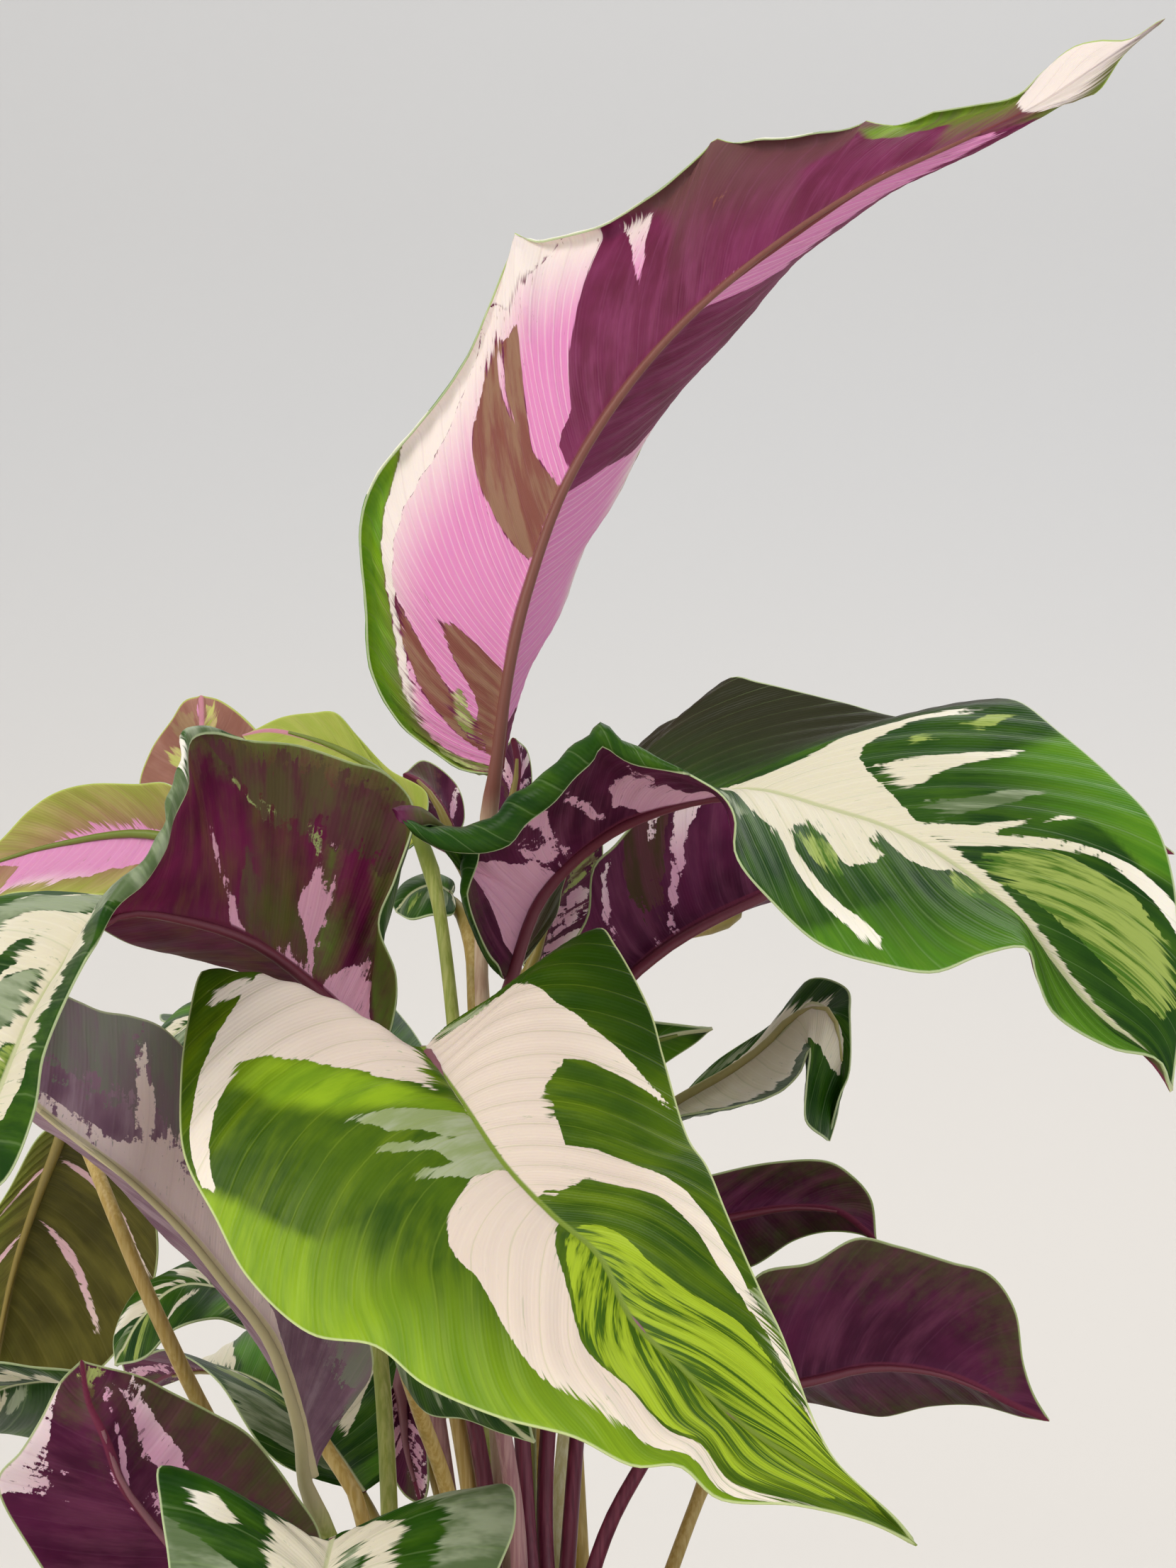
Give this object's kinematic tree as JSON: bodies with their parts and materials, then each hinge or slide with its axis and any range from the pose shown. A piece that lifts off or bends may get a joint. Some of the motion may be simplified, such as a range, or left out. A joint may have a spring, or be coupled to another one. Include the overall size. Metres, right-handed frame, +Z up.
{
  "type": "potted white fusion calathea",
  "caption": "Potted prayer plant with long-stemmed, wavy leaves marbled green and white above and purple below, in a plain round pot.",
  "frame": {"origin": "centre of the underside of the pot", "axes": "+Z up along the pot's axis; the front of the plant, with its broad leaf, faces -Y; +X is to the right seen from the front"},
  "size_m": [0.2571, 0.283, 0.4841],
  "materials": {
    "pot_ceramic": "matt off-white glaze",
    "potting_soil": "dark, crumbly and dry on top",
    "leaf_green_side": "satin leaf, green marbled with cream above and purple below",
    "leaf_purple_side": "satin leaf, purple and pink below, green marbled with cream above"
  },
  "bodies": {
    "root": {"pot": "pot_ceramic", "soil": "potting_soil", "leaf_back_left": "leaf_green_side", "leaf_back_point": "leaf_purple_side", "leaf_back_round": "leaf_green_side", "leaf_centre_back": "leaf_purple_side", "leaf_centre_curled": "leaf_green_side", "leaf_centre_hanging": "leaf_green_side", "leaf_centre_rolled": "leaf_green_side", "leaf_centre_young": "leaf_green_side", "leaf_far_left": "leaf_purple_side", "leaf_front_lower": "leaf_green_side", "leaf_front_spread": "leaf_green_side", "leaf_front_under": "leaf_green_side", "leaf_left_arching": "leaf_purple_side", "leaf_left_bowed": "leaf_green_side", "leaf_left_hanging": "leaf_green_side", "leaf_left_lower": "leaf_purple_side", "leaf_left_middle": "leaf_purple_side", "leaf_left_shaded": "leaf_purple_side", "leaf_low_front": "leaf_green_side", "leaf_low_left": "leaf_green_side", "leaf_low_rear": "leaf_green_side", "leaf_low_rear_left": "leaf_green_side", "leaf_low_rear_right": "leaf_green_side", "leaf_low_right": "leaf_green_side", "leaf_rear_left": "leaf_green_side", "leaf_rear_low_left": "leaf_green_side", "leaf_rear_low_right": "leaf_green_side", "leaf_rear_mid": "leaf_green_side", "leaf_rear_right": "leaf_green_side", "leaf_right_arching": "leaf_green_side", "leaf_right_behind": "leaf_purple_side", "leaf_right_curled": "leaf_green_side", "leaf_right_low": "leaf_purple_side", "leaf_right_point": "leaf_green_side", "leaf_right_small": "leaf_purple_side", "leaf_tall_upright": "leaf_purple_side"}
  },
  "joints": []
}
